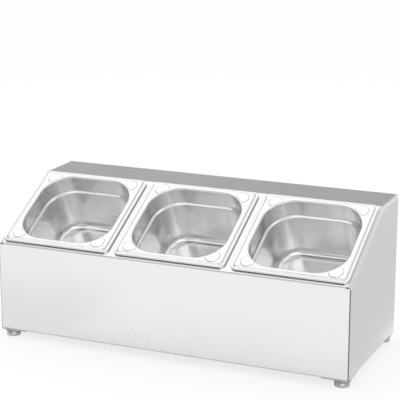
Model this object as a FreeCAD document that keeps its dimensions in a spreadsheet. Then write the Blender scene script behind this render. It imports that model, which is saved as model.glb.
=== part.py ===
"""Gastronorm pan holder: a folded sheet housing, lift-out pans in a row and four screw feet.

Millimetres. X runs along the row of pans, Y from the front panel to the back panel, Z up.
The origin is on the ground, under the middle of the housing.
"""
import FreeCAD
import Part
import Sketcher
import math
import os
import re

# Driving dimensions. Lengths in millimetres, angles in degrees.
DIMENSIONS = {
    # The pan: a one-sixth gastronorm size, its rim and its drawn bowl
    "pan_length": 176.0,
    "pan_breadth": 162.0,
    "pan_drop": 100.0,
    "pan_sheet": 0.8,
    "rim_corner_radius": 9.0,
    "rim_width_side": 13.5,
    "rim_width_front": 11.8,
    "lip_height": 3.0,
    "lip_radius": 1.2,
    "border_width": 3.6,
    "step_width": 2.4,
    "step_height": 1.6,
    "step_radius": 0.7,
    "mouth_corner_radius": 44.0,
    "mouth_roll_radius": 2.6,
    "shoulder_drop": 27.0,
    "shoulder_fall": 3.0,
    "shoulder_width": 3.6,
    "shoulder_radius": 2.0,
    "wall_lean": 3.0,
    "floor_radius": 13.0,
    "panel_margin": 5.0,
    "panel_height": 1.0,
    "boss_radius": 11.0,
    "boss_inset_side": 22.5,
    "boss_inset_front": 17.5,
    "boss_height": 0.5,
    "boss_margin": 0.6,
    "press_angle": 45.0,
    # The row of pans on the deck
    "pan_gap": 9.0,
    "rim_side_margin": 5.0,
    "rim_front_margin": 5.0,
    "rim_back_margin": 2.0,
    "seat_clearance": 0.3,
    "cutout_clearance": 1.5,
    # The folded housing
    "front_height": 135.5,
    "slope_angle": 28.0,
    "shelf_depth": 76.0,
    "sheet": 1.0,
    "bend_radius": 2.0,
    "shelf_fold_radius": 6.0,
    "side_bend_radius": 6.0,
    "side_flange": 7.0,
    "lap_flange": 8.0,
    "flange_relief": 6.0,
    "bottom_flange": 18.0,
    "top_lap": 14.0,
    "seam_gap": 1.2,
    "cut_overrun": 6.0,
    # The corner plates, their nuts and the feet
    "plate_size": 40.0,
    "plate_thickness": 2.0,
    "plate_inset": 0.6,
    "plate_corner_radius": 3.0,
    "plate_lap": 10.0,
    "foot_inset": 13.2,
    "nut_across": 10.0,
    "nut_height": 5.0,
    "ground_gap": 11.2,
    "foot_radius": 10.7,
    "foot_shoulder_radius": 9.6,
    "foot_rim_height": 3.9,
    "foot_base_top": 7.0,
    "foot_rounding": 1.2,
    "pad_radius": 9.0,
    "pad_thickness": 1.6,
    "pad_proud": 0.6,
    "stud_radius": 3.0,
    "stud_above_nut": 4.0,
    "stud_tip_chamfer": 0.6,
    "stud_head_radius": 5.0,
    "stud_head_height": 1.6,
    "collar_radius": 12.2,
    "collar_rounding": 1.1,
    "collar_clearance": 0.3,
    "swivel_clearance": 0.2,
    "running_clearance": 0.1,
}
PAN_NAMES = ("left", "middle", "right")
SIDES = {"left": -1, "right": 1}
ENDS = {"front": -1, "back": 1}
NUT_SIDES = 6
# Share of a sheet's thickness within which a point counts as on an outline
PICK_SHARE = 0.02

# Sizes of the housing that follow from the driving dimensions
PAN_PITCH = "(pan_length + pan_gap)"
BODY_WIDTH = f"({len(PAN_NAMES)} * pan_length + {len(PAN_NAMES) - 1} * pan_gap + 2 * rim_side_margin)"
SIDE = f"({BODY_WIDTH} / 2)"
SLOPE_LENGTH = "(rim_front_margin + pan_breadth + rim_back_margin)"
RUN = f"({SLOPE_LENGTH} * cos(slope_angle))"
DEPTH = f"({RUN} + shelf_depth)"
FRONT = f"(-{DEPTH} / 2)"
BACK = f"({DEPTH} / 2)"
PANEL_BOTTOM = "(ground_gap + plate_thickness)"
SLOPE_START = f"({PANEL_BOTTOM} + front_height)"
TOP = f"({SLOPE_START} + {SLOPE_LENGTH} * sin(slope_angle))"
SHELF_START = f"({FRONT} + {RUN})"
PAN_CENTRE_Y = f"({FRONT} + (rim_front_margin + pan_breadth / 2) * cos(slope_angle))"
PAN_CENTRE_Z = f"({SLOPE_START} + (rim_front_margin + pan_breadth / 2) * sin(slope_angle))"
OUTER_BEND = "(bend_radius + sheet)"
OUTER_FOLD = "(shelf_fold_radius + sheet)"
FLANGE_LENGTH = f"({BODY_WIDTH} - 2 * (plate_size - plate_lap))"

# Levels and half sizes of the pan, in its own frame, which lies on the deck
PLATEAU = "(lip_height + step_height)"
SHOULDER = f"({PLATEAU} - shoulder_drop)"
LEDGE = f"({SHOULDER} - shoulder_fall)"
BOWL_BOTTOM = f"({PLATEAU} - pan_drop)"
FLOOR = f"({BOWL_BOTTOM} + pan_sheet)"
FLOOR_INSET = "(shoulder_width + wall_lean)"

# Levels of a foot, from the ground up
HEAD_BOTTOM = "(pad_thickness + swivel_clearance)"
HEAD_TOP = f"({HEAD_BOTTOM} + stud_head_height)"
COLLAR_BOTTOM = "(foot_base_top + swivel_clearance)"
COLLAR_TOP = "(ground_gap - collar_clearance)"
STUD_TOP = f"({PANEL_BOTTOM} + nut_height + stud_above_nut)"

doc = FreeCAD.newDocument("pan_holder")
sheet = doc.addObject("Spreadsheet::Sheet", "Dims")
sub_parts = []


def fill_sheet():
    """One row for each driving dimension: its name, and its number under that name as alias."""
    for row, (name, number) in enumerate(DIMENSIONS.items(), start=1):
        sheet.set(f"A{row}", name)
        sheet.set(f"B{row}", str(number))
        sheet.setAlias(f"B{row}", name)
    doc.recompute()


def bound(text):
    """The expression with each dimension's name pointing at its cell."""
    return re.sub(r"[a-z_]+", lambda word: f"Dims.{word[0]}" if word[0] in DIMENSIONS else word[0], text)


def value(text):
    """The number that an expression of sizes has now."""
    return float(sheet.evalExpression(bound(text)))


def new_body(label):
    """An empty body that becomes one sub-part, exported under its label."""
    body = doc.addObject("PartDesign::Body", label)
    body.Label = label
    sub_parts.append(body)
    return body


def new_sketch(body, role, name, level="0"):
    """A sketch on one of the body's own origin planes, moved along its normal to a level."""
    sketch = body.newObject("Sketcher::SketchObject", name)
    plane = next(item for item in body.Origin.OriginFeatures if item.Role == role)
    sketch.AttachmentSupport = [(plane, "")]
    sketch.MapMode = "FlatFace"
    sketch.setExpression("AttachmentOffset.Base.z", bound(level))
    return sketch


def place_body(body, across, along, up="0", tilt="0"):
    """Puts a body at a place of the part, tilted about X."""
    turn = FreeCAD.Rotation(FreeCAD.Vector(1, 0, 0), value(tilt))
    body.Placement = FreeCAD.Placement(FreeCAD.Vector(), turn)
    for axis, text in zip("xyz", (across, along, up)):
        body.setExpression(f"Placement.Base.{axis}", bound(text))
    if value(tilt):
        body.setExpression("Placement.Rotation.Angle", bound(tilt))


def tie(sketch, kind, places, text):
    """A dimension of the sketch, bound to an expression of sizes."""
    number = sketch.addConstraint(Sketcher.Constraint(kind, *places, value(text)))
    sketch.setExpression(f"Constraints[{number}]", bound(text))


def draw_polygon(sketch, points):
    """A closed outline through points, each a pair of expressions from the sketch's origin."""
    first = sketch.GeometryCount
    count = len(points)
    places = [FreeCAD.Vector(value(across), value(up), 0) for across, up in points]
    for index in range(count):
        sketch.addGeometry(Part.LineSegment(places[index], places[(index + 1) % count]))
    for index, (across, up) in enumerate(points):
        line = first + index
        sketch.addConstraint(Sketcher.Constraint("Coincident", line, 2, first + (index + 1) % count, 1))
        tie(sketch, "DistanceX", (-1, 1, line, 1), across)
        tie(sketch, "DistanceY", (-1, 1, line, 1), up)


def draw_rectangle(sketch, low_across, high_across, low_up, high_up):
    """An upright rectangle between two expressions each way."""
    corners = [(low_across, low_up), (high_across, low_up), (high_across, high_up), (low_across, high_up)]
    draw_polygon(sketch, corners)


def draw_circle(sketch, radius):
    """A circle about the sketch's origin."""
    circle = sketch.addGeometry(Part.Circle(FreeCAD.Vector(), FreeCAD.Vector(0, 0, 1), value(radius)))
    sketch.addConstraint(Sketcher.Constraint("Coincident", circle, 3, -1, 1))
    tie(sketch, "Radius", (circle,), radius)


def draw_rounded_rectangle(sketch, half_x, half_y, radius, centre_x="0"):
    """A rectangle with round corners, tangent all the way round."""
    first = sketch.GeometryCount
    middle, wide, high, round_off = value(centre_x), value(half_x), value(half_y), value(radius)
    quarter = math.pi / 2
    turns = ((1, -1), (1, 1), (-1, 1), (-1, -1))
    for index, (sign_x, sign_y) in enumerate(turns):
        centre = FreeCAD.Vector(middle + sign_x * (wide - round_off), sign_y * (high - round_off), 0)
        circle = Part.Circle(centre, FreeCAD.Vector(0, 0, 1), round_off)
        start = (index - 1) * quarter
        sketch.addGeometry(Part.ArcOfCircle(circle, start, start + quarter))
    for index in range(len(turns)):
        here = sketch.Geometry[first + index]
        following = sketch.Geometry[first + (index + 1) % len(turns)]
        sketch.addGeometry(Part.LineSegment(here.EndPoint, following.StartPoint))
    for index in range(len(turns)):
        arc, line = first + index, first + len(turns) + index
        following = first + (index + 1) % len(turns)
        sketch.addConstraint(Sketcher.Constraint("Tangent", arc, 2, line, 1))
        sketch.addConstraint(Sketcher.Constraint("Tangent", line, 2, following, 1))
        sketch.addConstraint(Sketcher.Constraint("Vertical" if index % 2 == 0 else "Horizontal", line))
        tie(sketch, "Radius", (arc,), radius)
    right, back, left, front = (first + len(turns) + index for index in range(len(turns)))
    tie(sketch, "DistanceX", (-1, 1, right, 1), f"{centre_x} + {half_x}")
    tie(sketch, "DistanceX", (-1, 1, left, 1), f"{centre_x} - {half_x}")
    tie(sketch, "DistanceY", (-1, 1, back, 1), half_y)
    tie(sketch, "DistanceY", (-1, 1, front, 1), f"-{half_y}")


def add_prism(body, kind, name, sketch, length, backwards=False, both_ways=False, taper=None):
    """A pad or a pocket of a sketch, its length bound to an expression."""
    feature = body.newObject(f"PartDesign::{kind}", name)
    feature.Profile = sketch
    feature.Reversed = backwards
    if both_ways:
        feature.SideType = "Symmetric"
    feature.setExpression("Length", bound(length))
    if taper:
        feature.setExpression("TaperAngle", bound(taper))
    doc.recompute()
    return feature


def pad(body, name, sketch, length, **ways):
    return add_prism(body, "Pad", name, sketch, length, **ways)


def pocket(body, name, sketch, length, **ways):
    """A cut that has to take something away, so that a cut into the air is noticed."""
    before = body.Shape.Volume
    feature = add_prism(body, "Pocket", name, sketch, length, **ways)
    if feature.Shape.Volume >= before:
        raise RuntimeError(f"{body.Label}: {name} cuts nothing")
    return feature


def round_edges(body, name, picked, radius, kind="Fillet"):
    """A fillet, or a chamfer, on edges of the body's last feature."""
    base = body.Tip
    names = [f"Edge{index}" for index, edge in enumerate(base.Shape.Edges, start=1) if picked(edge)]
    if not names:
        raise RuntimeError(f"{body.Label}: {name} finds no edge")
    feature = body.newObject(f"PartDesign::{kind}", name)
    feature.Base = (base, names)
    feature.setExpression("Radius" if kind == "Fillet" else "Size", bound(radius))
    doc.recompute()
    return feature


def edge_points(edge):
    """The two ends and the middle of an edge."""
    first, last = edge.ParameterRange
    return [edge.valueAt(first), edge.valueAt((first + last) / 2), edge.valueAt(last)]


def along_x(across, up):
    """Picks edges that run along X at a place of the housing's section."""
    place_y, place_z, slack = value(across), value(up), value(f"sheet * {PICK_SHARE}")

    def picked(edge):
        return all(math.hypot(point.y - place_y, point.z - place_z) < slack for point in edge_points(edge))

    return picked


def on_outline(level, half_x, half_y, radius):
    """Picks the edges of a rounded rectangle at one level of the pan."""
    height, wide, high, round_off = value(level), value(half_x), value(half_y), value(radius)
    slack = value(f"pan_sheet * {PICK_SHARE}")

    def off_by(point):
        over_x = abs(point.x) - (wide - round_off)
        over_y = abs(point.y) - (high - round_off)
        outside = math.hypot(max(over_x, 0), max(over_y, 0))
        return max(abs(point.z - height), abs(outside + min(max(over_x, over_y), 0) - round_off))

    return lambda edge: all(off_by(point) < slack for point in edge_points(edge))


def on_ring(level, radius):
    """Picks the round edges of a turned piece at one level."""
    height, reach, slack = value(level), value(radius), value(f"sheet * {PICK_SHARE}")

    def off_by(point):
        return max(abs(point.z - height), abs(math.hypot(point.x, point.y) - reach))

    return lambda edge: all(off_by(point) < slack for point in edge_points(edge))


def mouth(outset):
    """Half sizes and corner radius of the pan's mouth, moved outwards by an expression."""
    return (
        f"(pan_length / 2 - rim_width_side + {outset})",
        f"(pan_breadth / 2 - rim_width_front + {outset})",
        f"(mouth_corner_radius + {outset})",
    )


def rim(inset):
    """Half sizes and corner radius of the pan's rim, moved inwards by an expression."""
    return (
        f"(pan_length / 2 - {inset})",
        f"(pan_breadth / 2 - {inset})",
        f"(rim_corner_radius - {inset})",
    )


def bowl_loft(body, kind, name, sections):
    """A straight-sided loft down through rounded rectangles, each a level and an outset from the mouth."""
    sketches = []
    for index, (level, outset) in enumerate(sections):
        sketch = new_sketch(body, "XY_Plane", f"{name}_section_{index}", level)
        draw_rounded_rectangle(sketch, *mouth(outset))
        sketches.append(sketch)
    loft = body.newObject(f"PartDesign::{kind}", name)
    loft.Profile = sketches[0]
    loft.Sections = sketches[1:]
    loft.Ruled = True
    doc.recompute()
    return loft


def draw_boss(sketch, sign_x, sign_y):
    """A flat round boss on a corner of the rim, cut off by a curve that follows the mouth."""
    reach = "(mouth_roll_radius + boss_margin)"
    half_x, half_y, curve_radius = mouth(reach)
    boss_x, boss_y = "(pan_length / 2 - boss_inset_side)", "(pan_breadth / 2 - boss_inset_front)"
    places = [
        (f"({sign_x} * {boss_x})", f"({sign_y} * {boss_y})"),
        (f"({sign_x} * ({half_x} - {curve_radius}))", f"({sign_y} * ({half_y} - {curve_radius}))"),
    ]
    radii = ["boss_radius", curve_radius]
    centres = [FreeCAD.Vector(value(across), value(up), 0) for across, up in places]
    circles = [
        Part.Circle(centre, FreeCAD.Vector(0, 0, 1), value(radius)) for centre, radius in zip(centres, radii)
    ]
    meetings = [FreeCAD.Vector(point.X, point.Y, 0) for point in circles[0].intersect(circles[1])]
    middles = [
        centres[0] + (centres[0] - centres[1]).normalize() * value("boss_radius"),
        centres[1] + (centres[0] - centres[1]).normalize() * value(curve_radius),
    ]
    first = sketch.GeometryCount
    for middle in middles:
        sketch.addGeometry(Part.Arc(meetings[0], middle, meetings[1]))
    boss_arc, mouth_arc = sketch.Geometry[first], sketch.Geometry[first + 1]
    to_start, to_end = (boss_arc.StartPoint - end for end in (mouth_arc.StartPoint, mouth_arc.EndPoint))
    same_way = to_start.Length < to_end.Length
    ends = ((1, 1), (2, 2)) if same_way else ((1, 2), (2, 1))
    for one, other in ends:
        sketch.addConstraint(Sketcher.Constraint("Coincident", first, one, first + 1, other))
    for index, ((across, up), radius) in enumerate(zip(places, radii)):
        tie(sketch, "DistanceX", (-1, 1, first + index, 3), across)
        tie(sketch, "DistanceY", (-1, 1, first + index, 3), up)
        tie(sketch, "Radius", (first + index,), radius)


def pan_rim(body):
    """The rim as a slab: a low border, a sloped step up to the plateau and a boss on each corner."""
    border = new_sketch(body, "XY_Plane", "rim_outline")
    draw_rounded_rectangle(border, *rim("0"))
    pad(body, "rim_border", border, "lip_height")
    plateau = new_sketch(body, "XY_Plane", "plateau_outline", "lip_height")
    draw_rounded_rectangle(plateau, *rim("border_width"))
    pad(body, "rim_plateau", plateau, "step_height", taper="-atan(step_width / step_height)")
    bosses = new_sketch(body, "XY_Plane", "boss_outlines", PLATEAU)
    for sign_x in SIDES.values():
        for sign_y in ENDS.values():
            draw_boss(bosses, sign_x, sign_y)
    pad(body, "corner_bosses", bosses, "boss_height", taper="-press_angle")


def pan_underside(body):
    """The bowl's outside, and the hollow under the rim that leaves a turned-down sheet."""
    bowl_loft(body, "AdditiveLoft", "bowl", (
        (PLATEAU, "pan_sheet"),
        (f"({SHOULDER} - pan_sheet / 2)", "pan_sheet"),
        (f"({LEDGE} - pan_sheet / 2)", "(pan_sheet - shoulder_width)"),
        (BOWL_BOTTOM, f"(pan_sheet - {FLOOR_INSET})"),
    ))
    hollows = {
        "border_hollow": ("lip_height - pan_sheet", "pan_sheet"),
        "plateau_hollow": (f"{PLATEAU} - pan_sheet", "(border_width + step_width)"),
    }
    for name, (height, inset) in hollows.items():
        ring = new_sketch(body, "XY_Plane", f"{name}_ring")
        draw_rounded_rectangle(ring, *rim(inset))
        draw_rounded_rectangle(ring, *mouth("pan_sheet"))
        pocket(body, name, ring, height, backwards=True)
    round_edges(body, "roll_underside", on_outline(f"({PLATEAU} - pan_sheet)", *mouth("pan_sheet")),
                "mouth_roll_radius - pan_sheet")


def pan_inside(body):
    """The bowl's inside and the rounded edges that a drawn pan has."""
    bowl_loft(body, "SubtractiveLoft", "cavity", (
        (f"({PLATEAU} + cut_overrun)", "0"),
        (SHOULDER, "0"),
        (LEDGE, "(-shoulder_width)"),
        (FLOOR, f"(-{FLOOR_INSET})"),
    ))
    round_edges(body, "floor_radius_inside", on_outline(FLOOR, *mouth(f"(-{FLOOR_INSET})")), "floor_radius")
    round_edges(body, "floor_radius_outside", on_outline(BOWL_BOTTOM, *mouth(f"(pan_sheet - {FLOOR_INSET})")),
                "floor_radius + pan_sheet")
    round_edges(body, "shoulder_top_radius", on_outline(SHOULDER, *mouth("0")), "shoulder_radius")
    ledge = mouth("(-shoulder_width)")
    round_edges(body, "shoulder_edge_radius", on_outline(LEDGE, *ledge), "shoulder_radius")
    round_edges(body, "mouth_roll", on_outline(PLATEAU, *mouth("0")), "mouth_roll_radius")
    round_edges(body, "lip_edge", on_outline("lip_height", *rim("0")), "lip_radius")
    round_edges(body, "step_foot", on_outline("lip_height", *rim("border_width")), "step_radius")
    round_edges(body, "step_edge", on_outline(PLATEAU, *rim("(border_width + step_width)")), "step_radius")


def pan_floor_panel(body):
    """The shallow panel pressed up in the floor: raised inside, hollow underneath."""
    outline = mouth(f"(-{FLOOR_INSET} - floor_radius - panel_margin)")
    raised = new_sketch(body, "XY_Plane", "raised_panel", FLOOR)
    draw_rounded_rectangle(raised, *outline)
    pad(body, "raised_floor", raised, "panel_height", taper="-press_angle")
    hollow = new_sketch(body, "XY_Plane", "hollow_panel", BOWL_BOTTOM)
    draw_rounded_rectangle(hollow, *outline)
    pocket(body, "hollow_floor", hollow, "panel_height", backwards=True, taper="-press_angle")


def make_pan(name, place):
    """One pan of the row, seated on the deck and leaning with it."""
    body = new_body(f"pan_{name}")
    pan_rim(body)
    pan_underside(body)
    pan_inside(body)
    pan_floor_panel(body)
    centre_y = f"{PAN_CENTRE_Y} - seat_clearance * sin(slope_angle)"
    centre_z = f"{PAN_CENTRE_Z} + seat_clearance * cos(slope_angle)"
    place_body(body, f"{place} * {PAN_PITCH}", centre_y, centre_z, "slope_angle")


def cut_deck(body):
    """The cut-outs that the pans hang in, square to the sloped deck."""
    cutouts = new_sketch(body, "XY_Plane", "pan_cutouts")
    cutouts.AttachmentOffset = FreeCAD.Placement(
        FreeCAD.Vector(), FreeCAD.Rotation(FreeCAD.Vector(1, 0, 0), value("slope_angle"))
    )
    cutouts.setExpression("AttachmentOffset.Base.y", bound(PAN_CENTRE_Y))
    cutouts.setExpression("AttachmentOffset.Base.z", bound(PAN_CENTRE_Z))
    cutouts.setExpression("AttachmentOffset.Rotation.Angle", bound("slope_angle"))
    half_x, half_y, radius = mouth("(pan_sheet + cutout_clearance)")
    for place in pan_places():
        draw_rounded_rectangle(cutouts, half_x, half_y, radius, f"({place} * {PAN_PITCH})")
    pocket(body, "pan_cutouts_cut", cutouts, "2 * cut_overrun", both_ways=True)


def pan_places():
    """Whole steps of the pan pitch from the middle of the row, one for each pan."""
    return [index - (len(PAN_NAMES) - 1) / 2 for index in range(len(PAN_NAMES))]


def make_deck_wrap():
    """Front panel, sloped deck and top shelf, folded from one sheet."""
    body = new_body("deck_wrap")
    inner_fold = f"{SLOPE_START} - sheet * tan(45 - slope_angle / 2)"
    inner_shelf = f"{SHELF_START} + sheet * tan(slope_angle / 2)"
    section = new_sketch(body, "YZ_Plane", "wrap_section")
    draw_polygon(section, [
        (FRONT, PANEL_BOTTOM),
        (FRONT, SLOPE_START),
        (SHELF_START, TOP),
        (f"{BACK} - sheet", TOP),
        (f"{BACK} - sheet", f"{TOP} - sheet"),
        (inner_shelf, f"{TOP} - sheet"),
        (f"{FRONT} + sheet", inner_fold),
        (f"{FRONT} + sheet", PANEL_BOTTOM),
    ])
    pad(body, "wrap", section, f"{BODY_WIDTH} - 2 * side_flange", both_ways=True)
    round_edges(body, "front_fold_outside", along_x(FRONT, SLOPE_START), OUTER_BEND)
    round_edges(body, "front_fold_inside", along_x(f"{FRONT} + sheet", inner_fold), "bend_radius")
    round_edges(body, "shelf_fold_outside", along_x(SHELF_START, TOP), OUTER_FOLD)
    round_edges(body, "shelf_fold_inside", along_x(inner_shelf, f"{TOP} - sheet"), "shelf_fold_radius")
    ends = new_sketch(body, "YZ_Plane", "front_ends")
    setback = f"{OUTER_BEND} * tan(45 - slope_angle / 2)"
    draw_rectangle(ends, FRONT, f"{FRONT} + sheet", PANEL_BOTTOM, f"{SLOPE_START} - {setback}")
    pad(body, "front_full_width", ends, f"{BODY_WIDTH} - 2 * seam_gap", both_ways=True)
    flange = new_sketch(body, "YZ_Plane", "bottom_return")
    draw_rectangle(flange, FRONT, f"{FRONT} + bottom_flange", PANEL_BOTTOM, f"{PANEL_BOTTOM} + sheet")
    pad(body, "bottom_return_flange", flange, FLANGE_LENGTH, both_ways=True)
    cut_deck(body)


def make_back_panel():
    """The back sheet, with a flange lapped under the shelf and a return flange along the bottom."""
    body = new_body("back_panel")
    panel = new_sketch(body, "YZ_Plane", "panel_section")
    draw_rectangle(panel, f"{BACK} - sheet", BACK, PANEL_BOTTOM, TOP)
    pad(body, "panel", panel, f"{BODY_WIDTH} - 2 * seam_gap", both_ways=True)
    lap = new_sketch(body, "YZ_Plane", "shelf_lap")
    draw_rectangle(lap, f"{BACK} - top_lap", BACK, f"{TOP} - 2 * sheet", f"{TOP} - sheet")
    pad(body, "shelf_lap_flange", lap, f"{BODY_WIDTH} - 2 * lap_flange - 2 * seam_gap", both_ways=True)
    flange = new_sketch(body, "YZ_Plane", "bottom_return")
    draw_rectangle(flange, f"{BACK} - bottom_flange", BACK, PANEL_BOTTOM, f"{PANEL_BOTTOM} + sheet")
    pad(body, "bottom_return_flange", flange, FLANGE_LENGTH, both_ways=True)


def side_outline(inset):
    """The side panel's outline, moved inwards by an expression."""
    low_y = f"{FRONT} + sheet + {inset}"
    high_y = f"{BACK} - sheet - {inset}"
    low_z = f"{PANEL_BOTTOM} + {inset}"
    high_z = f"{TOP} - {inset}"
    slope_z = f"{SLOPE_START} + (sheet + {inset}) * tan(slope_angle) - {inset} / cos(slope_angle)"
    fold_y = f"{SHELF_START} + {inset} * tan(slope_angle / 2)"
    return [(low_y, low_z), (low_y, slope_z), (fold_y, high_z), (high_y, high_z), (high_y, low_z)]


def on_side_edge(inset, outer, depth):
    """Picks the edges of a side panel's face that run along the slope, its fold and the shelf."""
    (_, _), (low_y, slope_z), (fold_y, high_z), (high_y, _), _ = side_outline(inset)
    start = FreeCAD.Vector(0, value(low_y), value(slope_z))
    fold = FreeCAD.Vector(0, value(fold_y), value(high_z))
    end = FreeCAD.Vector(0, value(high_y), value(high_z))
    plane, slack = outer * value(depth), value(f"sheet * {PICK_SHARE}")
    run = Part.makePolygon([start, fold, end])
    near_fold = value(OUTER_FOLD)

    def off_by(point):
        flat = FreeCAD.Vector(0, point.y, point.z)
        return run.distToShape(Part.Vertex(flat))[0] if (flat - fold).Length > near_fold else 0

    def picked(edge):
        points = edge_points(edge)
        return all(abs(point.x - plane) < slack and off_by(point) < slack for point in points)

    return picked


def make_side_panel(name, outer):
    """A side sheet: a rounded bend along slope and shelf, lap flanges at the front, back and bottom."""
    body = new_body(f"side_panel_{name}")
    inwards = outer > 0
    blank = new_sketch(body, "YZ_Plane", "blank_outline", f"{outer} * {SIDE}")
    draw_polygon(blank, side_outline("0"))
    pad(body, "blank", blank, "side_flange", backwards=inwards)
    inner_face = f"{outer} * ({SIDE} - side_flange)"
    hollow = new_sketch(body, "YZ_Plane", "hollow_outline", inner_face)
    hollow_outline = side_outline("sheet")
    draw_polygon(hollow, hollow_outline)
    pocket(body, "hollow", hollow, "side_flange - sheet", backwards=inwards)
    round_edges(body, "fold_inside", along_x(*hollow_outline[2]), "shelf_fold_radius")
    inside_edge = on_side_edge("sheet", outer, f"({SIDE} - sheet)")
    round_edges(body, "bend_inside", inside_edge, "side_bend_radius - sheet")
    round_edges(body, "fold_outside", along_x(SHELF_START, TOP), OUTER_FOLD)
    round_edges(body, "bend_outside", on_side_edge("0", outer, SIDE), "side_bend_radius")
    laps = new_sketch(body, "YZ_Plane", "lap_outline", f"{outer} * ({SIDE} - sheet)")
    front_y, back_y = f"{FRONT} + sheet", f"{BACK} - sheet"
    front_top, back_top = f"{SLOPE_START} - flange_relief", f"{TOP} - flange_relief"
    draw_polygon(laps, [
        (front_y, PANEL_BOTTOM),
        (back_y, PANEL_BOTTOM),
        (back_y, back_top),
        (f"{back_y} - sheet", back_top),
        (f"{back_y} - sheet", f"{PANEL_BOTTOM} + sheet"),
        (f"{front_y} + sheet", f"{PANEL_BOTTOM} + sheet"),
        (f"{front_y} + sheet", front_top),
        (front_y, front_top),
    ])
    pad(body, "lap_flanges", laps, "lap_flange - sheet", backwards=inwards)


def make_corner_plate(label, side, end):
    """A flat plate under one bottom corner, with the hole that the foot's stud passes."""
    body = new_body(label)
    outside = "(foot_inset - plate_inset)"
    inside = "(plate_size + plate_inset - foot_inset)"
    outline = new_sketch(body, "XY_Plane", "plate_outline", "ground_gap")
    span_x = (f"{-side} * {inside}", f"{side} * {outside}")
    span_y = (f"{-end} * {inside}", f"{end} * {outside}")
    draw_rectangle(outline, *span_x, *span_y)
    draw_circle(outline, "stud_radius + running_clearance")
    pad(body, "plate", outline, "plate_thickness")
    far = value(inside)
    slack = value(f"sheet * {PICK_SHARE}")

    def picked(edge):
        low, middle, high = edge_points(edge)
        upright = (low - high).Length > 0 and abs(low.x - high.x) + abs(low.y - high.y) < slack
        return upright and abs(abs(middle.x) - far) < slack and abs(abs(middle.y) - far) < slack

    round_edges(body, "plate_corner", picked, "plate_corner_radius")
    return body


def make_weld_nut(label):
    """A hexagon nut on the corner plate, a flat beside the side panel's lap."""
    body = new_body(label)
    outline = new_sketch(body, "XY_Plane", "nut_outline", PANEL_BOTTOM)
    corner = f"nut_across / 2 / cos({180 / NUT_SIDES})"
    turns = [180 / NUT_SIDES * (2 * index + 1) for index in range(NUT_SIDES)]
    draw_polygon(outline, [(f"{corner} * cos({turn})", f"{corner} * sin({turn})") for turn in turns])
    draw_circle(outline, "stud_radius + running_clearance")
    pad(body, "nut", outline, "nut_height")
    return body


def turn_piece(label, points):
    """A piece turned about the foot's axis, from its half section."""
    body = new_body(label)
    section = new_sketch(body, "XZ_Plane", "section")
    draw_polygon(section, points)
    turned = body.newObject("PartDesign::Revolution", "turned")
    turned.Profile = section
    turned.ReferenceAxis = (section, ["V_Axis"])
    doc.recompute()
    return body


def make_foot_base(label):
    """The foot's swivel base: a low round cup that holds the stud's head above the pad."""
    bore = "(stud_radius + running_clearance)"
    head_bore = "(stud_head_radius + running_clearance)"
    head_room = f"({HEAD_TOP} + swivel_clearance)"
    rim_top = "(pad_proud + foot_rim_height)"
    body = turn_piece(label, [
        ("pad_radius", "pad_proud"),
        ("foot_radius", "pad_proud"),
        ("foot_radius", rim_top),
        ("foot_shoulder_radius", "foot_base_top"),
        (bore, "foot_base_top"),
        (bore, head_room),
        (head_bore, head_room),
        (head_bore, "pad_thickness"),
        ("pad_radius", "pad_thickness"),
    ])
    round_edges(body, "rim_edge", on_ring(rim_top, "foot_radius"), "foot_rounding")
    return body


def make_foot_pad(label):
    """The rubber disc that the foot stands on."""
    body = new_body(label)
    outline = new_sketch(body, "XY_Plane", "pad_outline")
    draw_circle(outline, "pad_radius")
    pad(body, "pad", outline, "pad_thickness")
    return body


def make_foot_stud(label):
    """The stud that screws into the nut, with the collar that turns it and the head in the base."""
    body = turn_piece(label, [
        ("0", HEAD_BOTTOM),
        ("stud_head_radius", HEAD_BOTTOM),
        ("stud_head_radius", HEAD_TOP),
        ("stud_radius", HEAD_TOP),
        ("stud_radius", COLLAR_BOTTOM),
        ("collar_radius", COLLAR_BOTTOM),
        ("collar_radius", COLLAR_TOP),
        ("stud_radius", COLLAR_TOP),
        ("stud_radius", STUD_TOP),
        ("0", STUD_TOP),
    ])
    round_edges(body, "collar_top_edge", on_ring(COLLAR_TOP, "collar_radius"), "collar_rounding")
    round_edges(body, "collar_low_edge", on_ring(COLLAR_BOTTOM, "collar_radius"), "collar_rounding")
    round_edges(body, "stud_tip", on_ring(STUD_TOP, "stud_radius"), "stud_tip_chamfer", kind="Chamfer")
    return body


def make_corner(side_name, side, end_name, end):
    """Everything about one foot: plate, nut, stud, base and pad, on one upright axis."""
    corner = f"{end_name}_{side_name}"
    pieces = [
        make_corner_plate(f"corner_plate_{corner}", side, end),
        make_weld_nut(f"weld_nut_{corner}"),
        make_foot_stud(f"foot_stud_{corner}"),
        make_foot_base(f"foot_base_{corner}"),
        make_foot_pad(f"foot_pad_{corner}"),
    ]
    for body in pieces:
        place_body(body, f"{side} * ({SIDE} - foot_inset)", f"{end} * ({BACK} - foot_inset)")


def check_document():
    """Stops at any feature that failed, and at any sub-part that isn't one sound solid."""
    for item in doc.Objects:
        if "Invalid" in item.State or "Error" in item.State:
            raise RuntimeError(f"{item.Label} failed: {item.State}")
    for body in sub_parts:
        shape = body.Shape
        if shape.isNull() or not shape.isValid() or len(shape.Solids) != 1:
            raise RuntimeError(f"{body.Label} is not one sound solid")


def write_parts():
    """One file for each sub-part, named by its label."""
    os.makedirs("parts", exist_ok=True)
    for body in sub_parts:
        body.Shape.exportStep(f"parts/{body.Label}.step")
        print(f"{body.Label}: {body.Shape.Volume:.1f} mm3, box {body.Shape.BoundBox}")


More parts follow.
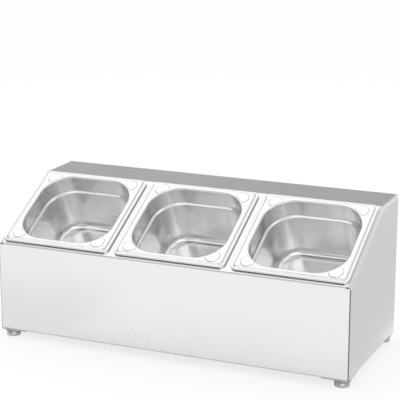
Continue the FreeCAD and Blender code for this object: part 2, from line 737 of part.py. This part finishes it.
fill_sheet()
make_deck_wrap()
make_back_panel()
for side_name, side in SIDES.items():
    make_side_panel(side_name, side)
for end_name, end in ENDS.items():
    for side_name, side in SIDES.items():
        make_corner(side_name, side, end_name, end)
for pan_name, pan_place in zip(PAN_NAMES, pan_places()):
    make_pan(pan_name, pan_place)
doc.recompute()
check_document()
write_parts()
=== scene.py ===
"""Looks of the pan holder: a brushed steel housing, drawn pans and screw feet, in soft studio light.

Metres, in the part's own frame: X along the row of pans, Y from front to back, Z up.
"""
import math
import bpy
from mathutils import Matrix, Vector

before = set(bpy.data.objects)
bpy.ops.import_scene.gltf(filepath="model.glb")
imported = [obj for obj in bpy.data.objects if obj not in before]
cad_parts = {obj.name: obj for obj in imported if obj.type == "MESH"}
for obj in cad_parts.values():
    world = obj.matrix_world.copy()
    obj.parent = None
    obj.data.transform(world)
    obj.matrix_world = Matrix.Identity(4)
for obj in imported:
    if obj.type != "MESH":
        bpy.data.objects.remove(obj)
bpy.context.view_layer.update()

# The photograph's camera: it looks down from the right front, at a point above the deck's front
CAMERA_TURN = math.radians(23.539)
CAMERA_RISE = math.radians(14.593)
CAMERA_TARGET = Vector((0.02721, -0.0517, 0.23248))
CAMERA_DISTANCE = 2.0858
CAMERA_LENS = 129.21
CAMERA_SENSOR = 36.0

PAN_NAMES = ("left", "middle", "right")
CORNERS = tuple(f"{end}_{side}" for end in ("front", "back") for side in ("left", "right"))
DECK_SLOPE = math.radians(28.0)
# The pans' own frame: their pitch, and the middle of the row along the slope and square to it
PAN_PITCH = 0.185
PAN_ALONG = 0.05638
PAN_UP = 0.18446
# Corner bosses and lip of a pan, in that frame
BOSS_CENTRE = (0.0655, 0.0635)
BOSS_RADIUS = 0.0108
# A painted shade line round each boss's pressed edge on the rim, and its tone
BOSS_PAINTED_SHADE_TONE = (0.5, 0.5, 0.505)
LINE_HALF_WIDTH = 0.0008
RIM_LEVEL = 0.0044
MOUTH_CORNER = (0.0305, 0.0252)
MOUTH_RADIUS = 0.0472
LIP_ACROSS = 0.0872
LIP_ALONG = 0.0802
# A painted contact shadow on the lip's lowest part, where it stands on the deck: its height and tone
LIP_SHADOW_HEIGHT = 0.0011
LIP_PAINTED_SHADOW_TONE = (0.16, 0.16, 0.165)

# Painted shade in the seams where the sheets' cut edges meet at the housing's front corners, and along the
# front panel's bottom fold
FRONT_END_X = 0.27665
FRONT_END_Y = -0.11138
SIDE_EDGE_Y = -0.11143
BOTTOM_EDGE_Z = 0.0146
BOTTOM_SHADE_SHARE = 0.45
PAINTED_EDGE_SHADE_TONE = (0.2, 0.2, 0.205)

# Colours of the metals and the rubber
SHEET_TONE = (0.88, 0.882, 0.885)
PAN_TONE = (0.87, 0.872, 0.875)
PLATE_TONE = (0.5, 0.5, 0.51)
# The studs' steel is darker than the bases' as painted shade, standing in for the housing's shade on the
# feet's upper part
STUD_TONE_WITH_PAINTED_SHADE = (0.4, 0.4, 0.41)
BASE_TONE = (0.62, 0.62, 0.63)
RUBBER_DARK_TONE = (0.02, 0.02, 0.021)
RUBBER_PALE_TONE = (0.045, 0.045, 0.047)
# The darkest part of the grain, as a share of the colour
SHEET_DARK_SHARE = 0.965
PAN_DARK_SHARE = 0.98
RING_DARK_SHARE = 0.9
# Roughness, and how far the grain and the cloudy marks move it
WRAP_ROUGHNESS = 0.3
SIDE_ROUGHNESS = 0.32
PAN_ROUGHNESS = 0.25
PLATE_ROUGHNESS = 0.38
STUD_ROUGHNESS = 0.3
BASE_ROUGHNESS = 0.22
RUBBER_SMOOTHEST = 0.6
RUBBER_ROUGHEST = 0.75
STREAK_SWING = 0.03
CLOUD_SWING = 0.02
RING_SWING = 0.05
# Fineness of the grain along each axis, and how much detail it has
WRAP_GRAIN = (6.0, 1400.0, 1400.0)
SIDE_GRAIN = (1400.0, 6.0, 1400.0)
PAN_GRAIN = (30.0, 30.0, 1300.0)
PLATE_GRAIN = (300.0, 300.0, 300.0)
CLOUD_GRAIN = (9.0, 9.0, 9.0)
RING_GRAIN = (60.0, 60.0, 2500.0)
RUBBER_GRAIN = (1800.0, 1800.0, 1800.0)
STREAK_DETAIL = 4.0
CLOUD_DETAIL = 3.0
RING_DETAIL = 2.0
RUBBER_DETAIL = 3.0
# Bumps of the grain: their strength, and their height in metres
SHEET_BUMP = 0.1
PAN_BUMP = 0.03
RING_BUMP = 0.2
RUBBER_BUMP = 0.4
STREAK_HEIGHT = 0.00002
RING_HEIGHT = 0.00003
RUBBER_HEIGHT = 0.0001
# Nearly all of a noise texture's values lie between these two
NOISE_LOW = 0.3
NOISE_HIGH = 0.7
METAL = 1.0
OPAQUE = 1.0

# The studio
WHITE = (1.0, 1.0, 1.0, OPAQUE)
GLOW_STRENGTH = 1.0
ROOM_LEVEL = 1.0
FLOOR_SIZE = 30.0
FLOOR_ROUGHNESS = 0.9
FLOOR_TONE = (0.95, 0.95, 0.95)
FLOOR_SEEN_SHARE = 0.78
FLOOR_MIRRORED_SHARE = 0.1
MIRRORED_ROOM_LEVEL = 0.62
SOFTBOX_PLACE = (-0.6, 0.4, 1.65)
SOFTBOX_AIM = (0.0, -0.04, 0.19)
SOFTBOX_SIZE = 1.8
SOFTBOX_POWER = 5.6
# Grey sheets on the floor, seen in the side panel and in the front panel's left end: place, size and level.
# The front sheet is a painted shadow: it darkens the floor that the front panel mirrors near the part.
SHEETS = {
    "right_floor_sheet": ((0.85, 0.5, 0.003), (1.1, 1.4), 0.68),
    "front_floor_painted_shadow_sheet": ((-0.44, -0.22, 0.003), (0.5, 0.26), 0.86),
}
# Cards round the part, in degrees: turn from the front to the right, rise, spread across and up.
# The last number is their level.
CARD_AIM = Vector((0.0, -0.04, 0.18))
CARD_REACH = 3.0
CARDS = {
    "front_right_card": (30.0, 20.5, 40.0, 19.0, 1.55),
    "front_low_card": (-20.0, 17.0, 60.0, 12.0, 0.1),
    "front_high_card": (-20.0, 31.0, 60.0, 16.0, 1.3),
    "front_over_card": (-38.0, 51.0, 75.0, 18.0, 0.05),
    "left_card": (-75.0, 30.0, 50.0, 26.0, 0.3),
    "right_card": (65.0, 43.0, 30.0, 33.0, 1.1),
    "far_right_card": (102.0, 43.0, 44.0, 33.0, 0.75),
    "right_back_card": (145.0, 25.0, 40.0, 40.0, 0.95),
    "back_card": (203.0, 16.0, 72.0, 34.0, 0.38),
}


def new_material(name):
    """An empty node material, with its principled shader."""
    material = bpy.data.materials.new(name)
    material.use_nodes = True
    tree = material.node_tree
    shader = tree.nodes["Principled BSDF"]
    return material, tree, shader


def add_node(tree, kind, **settings):
    """A node of the tree; a setting that names an input sets its value, any other is a property."""
    node = tree.nodes.new(kind)
    for name, setting in settings.items():
        if name in node.inputs:
            node.inputs[name].default_value = setting
        else:
            setattr(node, name, setting)
    return node


def own_place(tree, **settings):
    """The place of a surface point in the part's own frame, moved, turned or scaled."""
    place = add_node(tree, "ShaderNodeTexCoord")
    mapping = add_node(tree, "ShaderNodeMapping", **settings)
    tree.links.new(place.outputs["Object"], mapping.inputs["Vector"])
    return mapping.outputs["Vector"]


def stretched_noise(tree, scale, detail, turn=0.0):
    """Noise in the part's own frame, scaled apart along each axis and turned about X."""
    place = own_place(tree, Rotation=(turn, 0.0, 0.0), Scale=scale)
    noise = add_node(tree, "ShaderNodeTexNoise", Scale=1.0, Detail=detail)
    tree.links.new(place, noise.inputs["Vector"])
    return noise.outputs["Fac"]


def remap(tree, source, start, end, low=0.0, high=1.0):
    """Maps a value from one range to another, held at both ends."""
    node = add_node(tree, "ShaderNodeMapRange")
    for name, number in (("From Min", start), ("From Max", end), ("To Min", low), ("To Max", high)):
        node.inputs[name].default_value = number
    tree.links.new(source, node.inputs["Value"])
    return node.outputs["Result"]


def spread(tree, source, low, high):
    """Maps noise, which stays near a half, to a range of values."""
    return remap(tree, source, NOISE_LOW, NOISE_HIGH, low, high)


def combine(tree, operation, first, second):
    """Two values joined by a sum, a product or a comparison; the second may be a plain number."""
    node = add_node(tree, "ShaderNodeMath", operation=operation)
    tree.links.new(first, node.inputs[0])
    if isinstance(second, float):
        node.inputs[1].default_value = second
    else:
        tree.links.new(second, node.inputs[1])
    return node.outputs["Value"]


def blend(tree, share, first, second):
    """Mixes two colours, each plain or from a node, by a share."""
    node = add_node(tree, "ShaderNodeMix", data_type="RGBA")
    tree.links.new(share, node.inputs[0])
    colours = [socket for socket in node.inputs if socket.type == "RGBA"]
    for socket, colour in zip(colours, (first, second)):
        if isinstance(colour, tuple):
            socket.default_value = (*colour, OPAQUE)
        else:
            tree.links.new(colour, socket)
    return next(socket for socket in node.outputs if socket.type == "RGBA")


def raise_bump(tree, shader, height, strength, distance):
    """Feeds a height into the shader's normal."""
    bump = add_node(tree, "ShaderNodeBump", Strength=strength, Distance=distance)
    tree.links.new(height, bump.inputs["Height"])
    tree.links.new(bump.outputs["Normal"], shader.inputs["Normal"])


def grain_finish(tree, shader, grain, roughness, turn, strength):
    """A fine grain with faint cloudy marks: uneven roughness and a slight bump; gives the grain itself."""
    streaks = stretched_noise(tree, grain, STREAK_DETAIL, turn)
    clouds = stretched_noise(tree, CLOUD_GRAIN, CLOUD_DETAIL, turn)
    uneven = combine(tree, "ADD", spread(tree, streaks, -STREAK_SWING, STREAK_SWING),
                     spread(tree, clouds, roughness - CLOUD_SWING, roughness + CLOUD_SWING))
    tree.links.new(uneven, shader.inputs["Roughness"])
    raise_bump(tree, shader, streaks, strength, STREAK_HEIGHT)
    return streaks


def brushed_steel(name, tone, roughness, grain, painted_shade=None):
    """Stainless sheet with a fine grain, with painted shade on its cut edges."""
    material, tree, shader = new_material(name)
    shader.inputs["Metallic"].default_value = METAL
    streaks = grain_finish(tree, shader, grain, roughness, 0.0, SHEET_BUMP)
    dark = tuple(level * SHEET_DARK_SHARE for level in tone)
    colour = blend(tree, spread(tree, streaks, 0.0, 1.0), dark, tone)
    if painted_shade:
        colour = blend(tree, painted_shade(tree), colour, PAINTED_EDGE_SHADE_TONE)
    tree.links.new(colour, shader.inputs["Base Color"])
    return material


def pan_steel(name, tone, roughness):
    """Drawn stainless sheet: a grain round the bowl, a painted shadow along the lip and painted shade round
    the pressed bosses.
    """
    material, tree, shader = new_material(name)
    shader.inputs["Metallic"].default_value = METAL
    streaks = grain_finish(tree, shader, PAN_GRAIN, roughness, -DECK_SLOPE, PAN_BUMP)
    dark = tuple(level * PAN_DARK_SHARE for level in tone)
    colour = blend(tree, spread(tree, streaks, 0.0, 1.0), dark, tone)
    across, along, up = pan_axes(tree)
    # Painted shade along the bosses' pressed edges
    colour = blend(tree, painted_boss_shade(tree, across, along, up), colour, BOSS_PAINTED_SHADE_TONE)
    # Painted contact shadow along the lip's foot
    colour = blend(tree, painted_lip_shadow(tree, across, along, up), colour, LIP_PAINTED_SHADOW_TONE)
    tree.links.new(colour, shader.inputs["Base Color"])
    return material


def pan_axes(tree):
    """Distances from the middle of the nearest pan: across and along its rim, without sign, and up."""
    place = own_place(tree, Rotation=(-DECK_SLOPE, 0.0, 0.0), Location=(0.0, -PAN_ALONG, -PAN_UP))
    apart = add_node(tree, "ShaderNodeSeparateXYZ")
    tree.links.new(place, apart.inputs["Vector"])
    wrap = add_node(tree, "ShaderNodeMath", operation="WRAP")
    tree.links.new(apart.outputs["X"], wrap.inputs[0])
    wrap.inputs[1].default_value = PAN_PITCH / 2
    wrap.inputs[2].default_value = -PAN_PITCH / 2
    across = combine(tree, "ABSOLUTE", wrap.outputs["Value"], 0.0)
    along = combine(tree, "ABSOLUTE", apart.outputs["Y"], 0.0)
    return across, along, apart.outputs["Z"]


def distance_to(tree, across, along, centre):
    """Distance in the rim's plane from a point."""
    flat = add_node(tree, "ShaderNodeCombineXYZ")
    tree.links.new(across, flat.inputs["X"])
    tree.links.new(along, flat.inputs["Y"])
    apart = add_node(tree, "ShaderNodeVectorMath", operation="DISTANCE")
    tree.links.new(flat.outputs["Vector"], apart.inputs[0])
    apart.inputs[1].default_value = (*centre, 0.0)
    return apart.outputs["Value"]


def painted_boss_shade(tree, across, along, up):
    """Painted shade: one along the round pressed edge of a corner boss, where it stands on the rim."""
    radius = distance_to(tree, across, along, BOSS_CENTRE)
    off = combine(tree, "ABSOLUTE", combine(tree, "SUBTRACT", radius, BOSS_RADIUS), 0.0)
    ring = remap(tree, off, LINE_HALF_WIDTH, 0.0)
    on_rim = combine(tree, "GREATER_THAN", up, RIM_LEVEL)
    outside = combine(tree, "GREATER_THAN", distance_to(tree, across, along, MOUTH_CORNER), MOUTH_RADIUS)
    return combine(tree, "MULTIPLY", ring, combine(tree, "MULTIPLY", on_rim, outside))


def painted_lip_shadow(tree, across, along, up):
    """Painted contact shadow: one on the lowest part of the lip's outer face, close above the deck."""
    beside = combine(tree, "GREATER_THAN", across, LIP_ACROSS)
    before = combine(tree, "GREATER_THAN", along, LIP_ALONG)
    low = remap(tree, up, LIP_SHADOW_HEIGHT, LIP_SHADOW_HEIGHT / 2)
    return combine(tree, "MULTIPLY", low, combine(tree, "MAXIMUM", beside, before))


def painted_front_shade_share(tree):
    """Painted shade: one on the cut ends of the front panel, in the seams at the corners, less along the
    bottom edge.
    """
    apart = add_node(tree, "ShaderNodeSeparateXYZ")
    tree.links.new(own_place(tree), apart.inputs["Vector"])
    across = combine(tree, "ABSOLUTE", apart.outputs["X"], 0.0)
    at_end = combine(tree, "GREATER_THAN", across, FRONT_END_X)
    at_front = combine(tree, "LESS_THAN", apart.outputs["Y"], FRONT_END_Y)
    at_bottom = combine(tree, "LESS_THAN", apart.outputs["Z"], BOTTOM_EDGE_Z)
    shaded = combine(tree, "MULTIPLY", at_bottom, BOTTOM_SHADE_SHARE)
    return combine(tree, "MAXIMUM", combine(tree, "MULTIPLY", at_end, at_front), shaded)


def painted_side_shade_share(tree):
    """Painted shade: one on the cut front edge of a side panel, in the seam at the corner."""
    apart = add_node(tree, "ShaderNodeSeparateXYZ")
    tree.links.new(own_place(tree), apart.inputs["Vector"])
    return combine(tree, "LESS_THAN", apart.outputs["Y"], SIDE_EDGE_Y)


def turned_metal(name, tone, roughness):
    """Turned and plated metal: fine rings round the foot's axis."""
    material, tree, shader = new_material(name)
    shader.inputs["Metallic"].default_value = METAL
    rings = stretched_noise(tree, RING_GRAIN, RING_DETAIL)
    dark = tuple(level * RING_DARK_SHARE for level in tone)
    tree.links.new(blend(tree, spread(tree, rings, 0.0, 1.0), dark, tone), shader.inputs["Base Color"])
    uneven = spread(tree, rings, roughness - RING_SWING, roughness + RING_SWING)
    tree.links.new(uneven, shader.inputs["Roughness"])
    raise_bump(tree, shader, rings, RING_BUMP, RING_HEIGHT)
    return material


def rubber(name):
    """Black rubber with a fine moulded grain."""
    material, tree, shader = new_material(name)
    grain = stretched_noise(tree, RUBBER_GRAIN, RUBBER_DETAIL)
    colour = blend(tree, spread(tree, grain, 0.0, 1.0), RUBBER_DARK_TONE, RUBBER_PALE_TONE)
    tree.links.new(colour, shader.inputs["Base Color"])
    tree.links.new(spread(tree, grain, RUBBER_SMOOTHEST, RUBBER_ROUGHEST), shader.inputs["Roughness"])
    raise_bump(tree, shader, grain, RUBBER_BUMP, RUBBER_HEIGHT)
    return material


def dress(node, material):
    """Gives a node of the frame its material."""
    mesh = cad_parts[node].data
    mesh.materials.clear()
    mesh.materials.append(material)


def dress_housing():
    """The folded sheets: grain along the row on the wrap and the back, along the depth on the sides."""
    sheet = brushed_steel("housing_sheet", SHEET_TONE, WRAP_ROUGHNESS, WRAP_GRAIN, painted_shade=painted_front_shade_share)
    sides = brushed_steel("side_sheet", SHEET_TONE, SIDE_ROUGHNESS, SIDE_GRAIN, painted_shade=painted_side_shade_share)
    for node in ("deck_wrap", "back_panel"):
        dress(node, sheet)
    for node in ("side_panel_left", "side_panel_right"):
        dress(node, sides)


def dress_pans():
    """The drawn pans, all of one sheet."""
    pans = pan_steel("pan_sheet", PAN_TONE, PAN_ROUGHNESS)
    for name in PAN_NAMES:
        dress(f"pan_{name}", pans)


def dress_feet():
    """The corner plates, their nuts and the screw feet."""
    plates = brushed_steel("plate_sheet", PLATE_TONE, PLATE_ROUGHNESS, PLATE_GRAIN)
    studs = turned_metal("stud_metal_painted_shade", STUD_TONE_WITH_PAINTED_SHADE, STUD_ROUGHNESS)
    bases = turned_metal("foot_metal", BASE_TONE, BASE_ROUGHNESS)
    pads = rubber("pad_rubber")
    for corner in CORNERS:
        dress(f"corner_plate_{corner}", plates)
        dress(f"weld_nut_{corner}", plates)
        dress(f"foot_stud_{corner}", studs)
        dress(f"foot_base_{corner}", bases)
        dress(f"foot_pad_{corner}", pads)


def make_floor():
    """A plain pale floor: white to the eye and in metal, with a faint shadow."""
    bpy.ops.mesh.primitive_plane_add(size=FLOOR_SIZE, location=(0.0, 0.0, 0.0))
    floor = bpy.context.object
    floor.name = "studio_floor"
    material, tree, shader = new_material("floor_white")
    shader.inputs["Base Color"].default_value = (*FLOOR_TONE, OPAQUE)
    shader.inputs["Roughness"].default_value = FLOOR_ROUGHNESS
    shader.inputs["Specular IOR Level"].default_value = 0.0
    glow = add_node(tree, "ShaderNodeEmission", Color=WHITE, Strength=GLOW_STRENGTH)
    path = add_node(tree, "ShaderNodeLightPath")
    seen = combine(tree, "MULTIPLY", path.outputs["Is Camera Ray"], FLOOR_SEEN_SHARE)
    mirrored = combine(tree, "MULTIPLY", path.outputs["Is Glossy Ray"], FLOOR_MIRRORED_SHARE)
    mix = add_node(tree, "ShaderNodeMixShader")
    tree.links.new(combine(tree, "MAXIMUM", seen, mirrored), mix.inputs[0])
    tree.links.new(shader.outputs["BSDF"], mix.inputs[1])
    tree.links.new(glow.outputs["Emission"], mix.inputs[2])
    tree.links.new(mix.outputs["Shader"], tree.nodes["Material Output"].inputs["Surface"])
    floor.data.materials.append(material)


def light_world():
    """White where the camera looks past the part and for soft light, an even grey room in metal."""
    world = bpy.data.worlds.new("studio")
    world.use_nodes = True
    tree = world.node_tree
    path = add_node(tree, "ShaderNodeLightPath")
    level = remap(tree, path.outputs["Is Glossy Ray"], 0.0, 1.0, ROOM_LEVEL, MIRRORED_ROOM_LEVEL)
    background = tree.nodes["Background"]
    background.inputs["Color"].default_value = WHITE
    tree.links.new(level, background.inputs["Strength"])
    bpy.context.scene.world = world


def add_softbox(name, place, aim, size, power):
    """A square soft light that faces a point."""
    lamp = bpy.data.lights.new(name, "AREA")
    lamp.shape = "SQUARE"
    lamp.size = size
    lamp.energy = power
    item = bpy.data.objects.new(name, lamp)
    item.location = place
    item.rotation_euler = (Vector(aim) - Vector(place)).to_track_quat("-Z", "Y").to_euler()
    bpy.context.scene.collection.objects.link(item)


def add_card(name, centre, size, turn, grey):
    """A matt studio card that only reflections see."""
    bpy.ops.mesh.primitive_plane_add(size=1.0, location=centre, rotation=turn)
    card = bpy.context.object
    card.name = name
    card.scale = (*size, 1.0)
    card.visible_camera = False
    card.visible_diffuse = False
    card.visible_shadow = False
    material, tree, _ = new_material(name)
    glow = add_node(tree, "ShaderNodeEmission", Color=(grey, grey, grey, OPAQUE), Strength=GLOW_STRENGTH)
    tree.links.new(glow.outputs["Emission"], tree.nodes["Material Output"].inputs["Surface"])
    card.data.materials.append(material)


def stand_card(name, turn, rise, turn_spread, rise_spread, level):
    """A card that faces the part, by its direction and spread in degrees."""
    side = math.radians(turn)
    lift = math.radians(rise)
    way = Vector((math.sin(side) * math.cos(lift), -math.cos(side) * math.cos(lift), math.sin(lift)))
    spans = [2 * CARD_REACH * math.tan(math.radians(angle) / 2) for angle in (turn_spread, rise_spread)]
    size = (spans[0] * math.cos(lift), spans[1])
    add_card(name, CARD_AIM + way * CARD_REACH, size, way.to_track_quat("Z", "Y").to_euler(), level)


def lay_sheets():
    """The grey sheets on the floor."""
    for name, (place, size, level) in SHEETS.items():
        add_card(name, place, size, (0.0, 0.0, 0.0), level)


def stand_cards():
    """The cards round the part."""
    for name, measures in CARDS.items():
        stand_card(name, *measures)


def set_camera():
    """The camera at the photograph's viewing angle."""
    camera = bpy.data.cameras.new("view")
    camera.lens = CAMERA_LENS
    camera.sensor_width = CAMERA_SENSOR
    item = bpy.data.objects.new("view", camera)
    level = math.cos(CAMERA_RISE)
    away = Vector((math.sin(CAMERA_TURN) * level, -math.cos(CAMERA_TURN) * level, math.sin(CAMERA_RISE)))
    item.location = CAMERA_TARGET + away * CAMERA_DISTANCE
    item.rotation_euler = (-away).to_track_quat("-Z", "Y").to_euler()
    bpy.context.scene.collection.objects.link(item)
    bpy.context.scene.camera = item


dress_housing()
dress_pans()
dress_feet()
make_floor()
light_world()
add_softbox("softbox", SOFTBOX_PLACE, SOFTBOX_AIM, SOFTBOX_SIZE, SOFTBOX_POWER)
lay_sheets()
stand_cards()
set_camera()
bpy.context.scene.view_settings.view_transform = "Standard"
